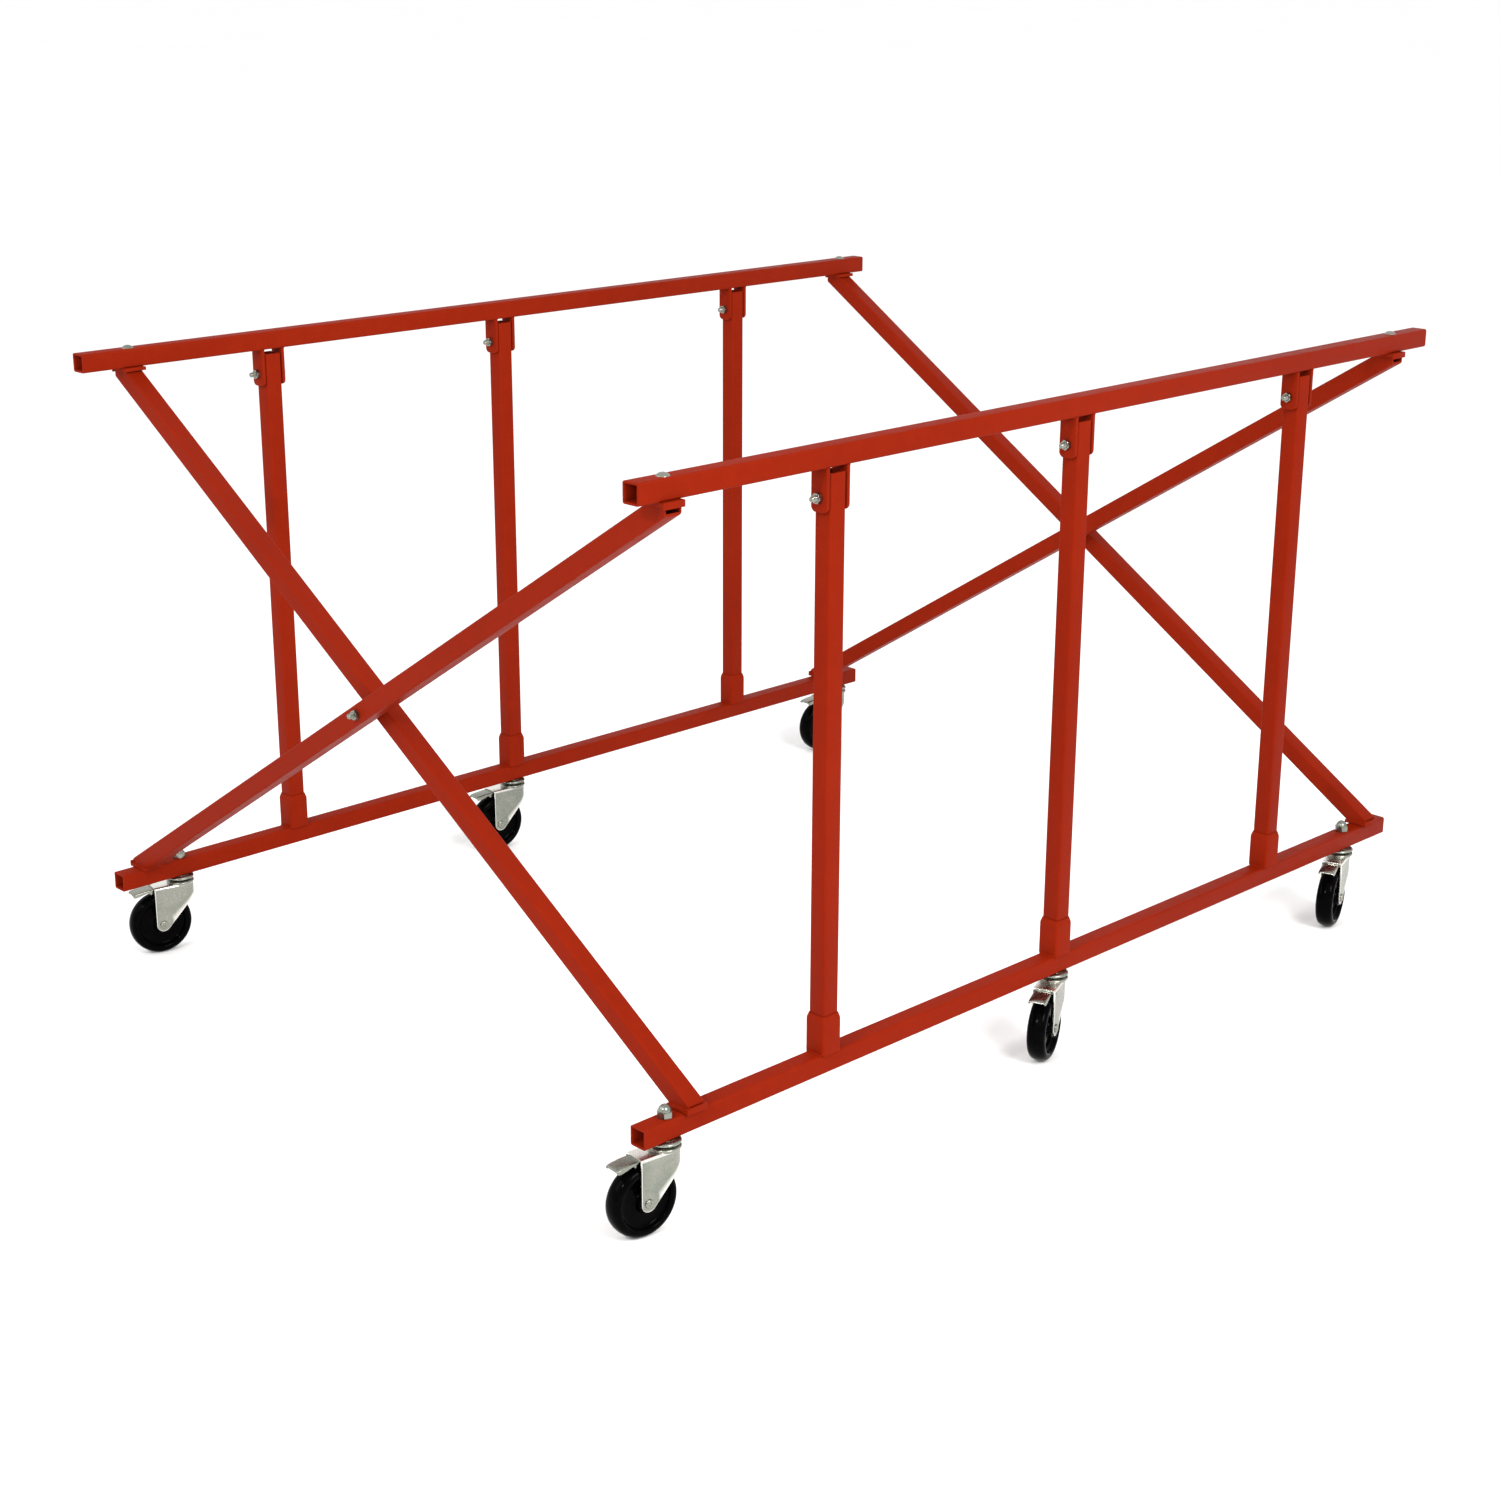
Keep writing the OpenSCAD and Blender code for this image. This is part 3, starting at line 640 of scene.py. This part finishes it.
fit_out(join("crossing_nuts", [copy_of(nut, "nut", line @ past_arms) for line in lines]),
        "frame", plating, "zinc", "centre_nuts")
fit_out(join("crossing_spacers", [copy_of(spacer, "spacer", line @ past_arm) for line in lines]),
        "frame", plating, "zinc", "centre_spacers")
drop(centre_bolt)
drop(spacer)

top, shank_r, under_nut = tube / 2 / mm, bolt_r / mm, -(face + nut_h) / mm
dome = [(0, top + 4.5), (2.5, top + 4.3), (5, top + 3.5), (7.2, top + 2.1), (8.6, top + 0.7), (9, top),
        (shank_r, top - 0.1), (shank_r, -top), (shank_r, under_nut), (3.2, under_nut - 2), (0, under_nut - 2)]
dome_bolt = turned("dome_bolt_pattern", dome, 40)
bolts, nuts = [], []
for node, way in arm_ways.items():
    y = middle(node).y
    for x, z, turn in ((frame_x - way * frame_w / 2, z_high, 0), (frame_x + way * frame_w / 2, z_low, pi)):
        line = Matrix.Translation((x, y, z)) @ Matrix.Rotation(turn, 4, "X")
        bolts.append(copy_of(dome_bolt, "bolt", line))
        nuts.append(copy_of(nut, "nut", line @ Matrix.Translation((0, 0, -face - nut_h))))
fit_out(join("brace_end_bolts", bolts), "frame", plating, "zinc", "arm_bolts")
fit_out(join("brace_end_nuts", nuts), "frame", plating, "zinc", "arm_nuts")
drop(dome_bolt)
drop(nut)

# ---- stem nuts ----
# A zinc-plated acorn nut, screwed down on the lower rail, holds each corner
# caster's stem. A plain nut does it inside the socket of each middle post.
caster_keys = ("nl", "nr", "ml", "mr", "fl", "fr")
joint_at = {j["name"]: j for j in frame["joints"]}
acorn_af, acorn_hex = 19 * mm, 9 * mm
acorn = hexagon("acorn_hex", acorn_af, acorn_hex, 0)
dome_r = acorn_af / mm / 2 - 0.6
cap = [(dome_r - 0.2, 8.4), (dome_r, 9), (dome_r * 0.985, 10.5), (dome_r * 0.92, 12.4), (dome_r * 0.8, 14.2),
       (dome_r * 0.62, 15.9), (dome_r * 0.4, 17.1), (dome_r * 0.18, 17.75), (0, 17.9)]
acorn = join("acorn_pattern", [acorn, turned("cap", [(0, 8.4)] + cap, 48)])
plain = hexagon("plain_pattern", acorn_af, 10 * mm, 6.05 * mm)
on_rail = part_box("rail_bottom_left")[1].z
acorns, plains = [], []
for key in caster_keys:
    x, y, _ = joint_at["swivel_" + key]["pos_m"]
    seat = Matrix.Translation((x, y, on_rail))
    if key[0] == "m":
        plains.append(copy_of(plain, "plain", seat))
    else:
        acorns.append(copy_of(acorn, "acorn", seat @ Matrix.Rotation(len(acorns) * 0.5 + 0.3, 4, "Z")))
fit_out(join("acorn_nuts", acorns), "frame", plating, "zinc", "stem_nuts")
fit_out(join("plain_stem_nuts", plains), "frame", plating, "zinc", "stem_nuts_mid")
drop(acorn)
drop(plain)

# ---- caster cups and stems ----
# The fixed half of each swivel, in zinc-plated steel: a threaded stem up through
# the rail, a pressed cup under it, and the kingpin whose head holds the fork up.
stands = {}
for key in caster_keys:
    x, y, _ = joint_at["swivel_" + key]["pos_m"]
    across_x, across_y, _ = joint_at["roll_" + key]["axis"]
    stands[key] = Matrix.Translation((x, y, 0)) @ Matrix.Rotation(atan2(across_y, across_x), 4, "Z")
cup = turned("cup_pattern", [
    (0, 109), (9.3, 109), (10, 109.6), (10, 110.8), (9.3, 111.5), (6, 111.6), (6, 118.6), (16.6, 118.6),
    (17.2, 119.2), (17.4, 120.4), (19.6, 120.9), (21.3, 121.3), (22, 122.1), (22, 123.3), (21.4, 124.4),
    (18.8, 125.7), (15.5, 126.1), (14.6, 126.3), (14.6, 126.7), (6, 126.7), (6, 163.2), (5.4, 163.6),
    (0, 163.6)], 64)
for key, stand in stands.items():
    fit_out(copy_of(cup, "cup_" + key, stand), "frame", plating, "zinc", "mount_" + key)
drop(cup)

# ---- fork sheet ----
# The fork is one pressed sheet of zinc-plated steel, 2.5 mm thick: two tapering
# legs, joined round the front and over the top, with a raised race pressed up
# under the cup. Its edges and the top of its fold carry a painted highlight, a
# lighter zinc than its flats.
trail = 38.0
leg_r, leg_top = 11.5, 61.2
sheet_t = 2.5
crown_top = leg_top + sheet_t
out_x = 18.0
nose_r = 20.8
knee = (trail + 8, 32.0)
flare, bulge, bulge_run = 0.8, 1.6, 12  # how the hem goes on past the knee
toe = atan2(knee[1], knee[0]) - atan2(sqrt(knee[0] ** 2 + knee[1] ** 2 - leg_r ** 2), leg_r)
tangent = (leg_r * cos(toe), leg_r * sin(toe))


def leg_bottom(s):
    if s <= tangent[0]:
        return -sqrt(max(leg_r ** 2 - s ** 2, 0))
    if s <= knee[0]:
        return tangent[1] + (knee[1] - tangent[1]) * (s - tangent[0]) / (knee[0] - tangent[0])
    past = s - knee[0]
    return knee[1] + past * flare + bulge * sin(min(1, past / bulge_run) * pi) ** 2


legs_s = [-11.5, -11.4, -11, -10.2, -9, -7.2, -5, -2.6, 0, 2.6, 5, 6.8, tangent[0], 14, 20, 26, 32, trail]
plan = [(-out_x, s) for s in legs_s]
for i in range(1, 16):
    a = pi * i / 16
    plan.append((-out_x * cos(a), trail + nose_r * sin(a)))
plan += [(out_x, s) for s in reversed(legs_s)]
fold = 4.0
sheet_skin, sheet_edge = 2.4 * mm, 0.7 * mm
rim_highlight_width = 1.2
rows = [(0.0, 0.0), (0.02, 0.0), (0.25, 0.0), (0.5, 0.0), (0.75, 0.0), (0.98, 0.0), (1.0, 0.0)]
rows += [(1.0, pi / 2 * k / 5) for k in range(1, 6)]
clear()
bpy.ops.mesh.primitive_grid_add(x_subdivisions=len(plan) - 1, y_subdivisions=len(rows) - 1, size=2)
sheet = bpy.context.object
sheet.name = "fork_sheet"
axle_z = 50.8
for v in sheet.data.vertices:
    i = round((v.co.x + 1) / 2 * (len(plan) - 1))
    j = round((v.co.y + 1) / 2 * (len(rows) - 1))
    x, s = plan[i]
    part, a = rows[j]
    low = leg_bottom(s)
    z = low + (crown_top - fold - low) * part + fold * sin(a)
    shift = fold * (1 - cos(a))
    if s <= trail:
        x -= shift * (1 if x > 0 else -1)
    else:
        away = Vector((x / out_x, (s - trail) / nose_r)).normalized()
        x -= shift * away.x
        s -= shift * away.y
    v.co = (x * mm, (s - trail) * mm, (z + axle_z) * mm)
top_z = (crown_top + axle_z) * mm
pick(sheet, "VERT", lambda co: co.z > top_z - 0.01 * mm)
bpy.ops.mesh.edge_face_add()
bpy.ops.mesh.select_all(action="SELECT")
bpy.ops.mesh.normals_make_consistent(inside=False)
bpy.ops.object.mode_set(mode="OBJECT")
side_face = min(sheet.data.polygons, key=lambda f: f.center.x)
if side_face.normal.x > 0:
    sheet.data.flip_normals()
modify(sheet, "SOLIDIFY", thickness=sheet_skin, offset=-1, use_even_offset=True)
modify(sheet, "BEVEL", width=sheet_edge, segments=3, limit_method="ANGLE", angle_limit=radians(60))
close_up(sheet, 40)
# painted highlight mask: 1 on the sheet's edges and the top of its fold, which the shader paints light zinc
highlight_mask = sheet.data.attributes.new("rim_highlight", "FLOAT", "POINT")
for v in sheet.data.vertices:
    s, z = v.co.y / mm + trail, v.co.z / mm - axle_z
    edge = min(z - leg_bottom(s), s + leg_r) if s < trail else z - leg_bottom(s)
    highlight_mask.data[v.index].value = 1.0 if edge < rim_highlight_width or z > crown_top - 0.7 * fold else 0.0
race = turned("race", [
    (6.3, 112.2), (6.3, 117.6), (17.8, 117.9), (20.1, 117.6), (21.5, 116.9), (22, 115.9), (21.9, 114.8),
    (21.2, 113.6), (20.4, 112.6), (19.4, 112.2), (6.3, 112.2)], 64)
fork = join("fork_pattern", [sheet, race])
for key, stand in stands.items():
    fit_out(copy_of(fork, "pressed_fork_" + key, stand), "caster_" + key, plating, "zinc", "fork_" + key)
drop(fork)

# ---- axles ----
# A zinc-plated steel pin through both legs of the fork. It has a rounded head,
# and its other end is peened over.
on_axle = Matrix.Translation((0, -trail * mm, axle_z * mm)) @ Matrix.Rotation(pi / 2, 4, "Y")
axle = turned("axle_pattern", [
    (0, -19.5), (1.9, -19.5), (2.5, -20.4), (4.6, -20.6), (5.9, -20.1), (6.5, -19.1), (6.5, -18), (4, -18),
    (4, 18), (6.5, 18), (6.5, 19.1), (5.9, 20.1), (4.6, 20.6), (2.5, 20.4), (1.9, 19.5), (0, 19.5)], 40)
axle.data.transform(on_axle)
for key, stand in stands.items():
    fit_out(copy_of(axle, "axle_pin_" + key, stand), "caster_" + key, plating, "zinc", "axle_" + key)
drop(axle)

# ---- wheels ----
# Four inch wheels of hard black rubber in one moulding: a crowned tread, a
# dished web with a raised ring, and a boss for the axle.
half_profile = [(4.05, 15.1), (5, 15.1), (12.6, 15.1), (13.6, 14.5), (14.2, 12), (15, 8.6), (16.6, 7.2),
                (19, 6.6), (29, 6), (33.4, 6.2), (36, 7.2), (37.4, 9.4), (38.2, 12.2), (39.2, 13.4),
                (41, 13.95), (43.4, 13.9), (45.9, 13.0), (48.1, 11.2), (49.6, 8.4), (50.5, 4.6), (50.8, 1.6)]
profile = half_profile + [(r, -z) for r, z in reversed(half_profile)] + [half_profile[0]]
wheel = turned("wheel_pattern", profile, 96)
wheel.data.transform(on_axle)

rubber_black, rubber_dusty = (0.0006, 0.0006, 0.0007, 1), (0.0018, 0.0017, 0.0016, 1)
moulding, shader, place = new_finish("black_wheel_rubber")
dust = noise(place, 60, 4, 0.6).between(0.45, 0.8)
feed(shader, "Base Color", dust.blend(rubber_black, rubber_dusty))
feed(shader, "Roughness", dust * 0.1 + 0.1)
shader.inputs["Specular IOR Level"].default_value = 0.02
bump(shader, noise(place, 400, 3), 0.08, 0.0003)
for key, stand in stands.items():
    fit_out(copy_of(wheel, "moulded_wheel_" + key, stand),
            "wheel_" + key, moulding, "black_wheel", "wheel_" + key)
drop(wheel)

# ---- brake pedals ----
# A pressed, zinc-plated tab with turned-down lips, on a pin between the fork's
# legs. Trodden down, it brings its shoe to the tread.
tab_skin, tab_edge, shoe_edge = 1.7 * mm, 0.35 * mm, 1.1 * mm
pin_s, pin_z = -7, 108.9
shoe_size, shoe_s, shoe_z = (20 * mm, 5.4 * mm, 8 * mm), -13.4, 106.1
pedal_s = [-9, -12.5, -18, -25, -32, -38, -42.6, -44.6, -45.4]
pedal_top = [111.6, 111.8, 111.7, 111.3, 110.6, 109.9, 108.8, 107.4, 105.6]
lips = [0.6, 1.2, 2.2, 3.6, 5.2, 6.2, 5.4, 3.2, 0.6]
tab_half, tab_crown, lip_base = 13, 0.25, 0.8
across = [(-tab_half, 1.0), (-tab_half, 0.5), (-12.8, 0.12), (-11.8, 0), (-6, 0), (0, 0), (6, 0), (11.8, 0),
          (12.8, 0.12), (tab_half, 0.5), (tab_half, 1.0)]
clear()
bpy.ops.mesh.primitive_grid_add(x_subdivisions=len(across) - 1, y_subdivisions=len(pedal_s) - 1, size=2)
tab = bpy.context.object
tab.name = "pedal_tab"
for v in tab.data.vertices:
    i = round((v.co.x + 1) / 2 * (len(across) - 1))
    j = round((v.co.y + 1) / 2 * (len(pedal_s) - 1))
    x, down = across[i]
    z = pedal_top[j] - down * (lips[j] + lip_base) + tab_crown * (1 - abs(x) / tab_half)
    v.co = (x * mm, (pedal_s[j] - trail) * mm, z * mm)
modify(tab, "SUBSURF", levels=1, render_levels=1)
if tab.data.polygons[len(tab.data.polygons) // 2].normal.z < 0:
    tab.data.flip_normals()
modify(tab, "SOLIDIFY", thickness=tab_skin, offset=-1)
modify(tab, "BEVEL", width=tab_edge, segments=2, limit_method="ANGLE", angle_limit=radians(60))
close_up(tab, 40)
pin = turned("pedal_pin", [
    (0, -18.7), (1.5, -18.7), (1.9, -18.3), (1.9, -13), (2.9, -13), (2.9, 13), (1.9, 13), (1.9, 18.3),
    (1.5, 18.7), (0, 18.7)], 24)
pin_at = Matrix.Translation((0, (pin_s - trail) * mm, pin_z * mm))
pin.data.transform(pin_at @ Matrix.Rotation(pi / 2, 4, "Y"))
shoe = block("pedal_shoe", shoe_size, (0, (shoe_s - trail) * mm, shoe_z * mm))
modify(shoe, "BEVEL", width=shoe_edge, segments=3, limit_method="ANGLE", angle_limit=radians(40))
close_up(shoe)
pedal = join("pedal_pattern", [tab, pin, shoe])
for key, stand in stands.items():
    fit_out(copy_of(pedal, "pedal_" + key, stand), "brake_" + key, plating, "zinc", "brake_" + key)
drop(pedal)
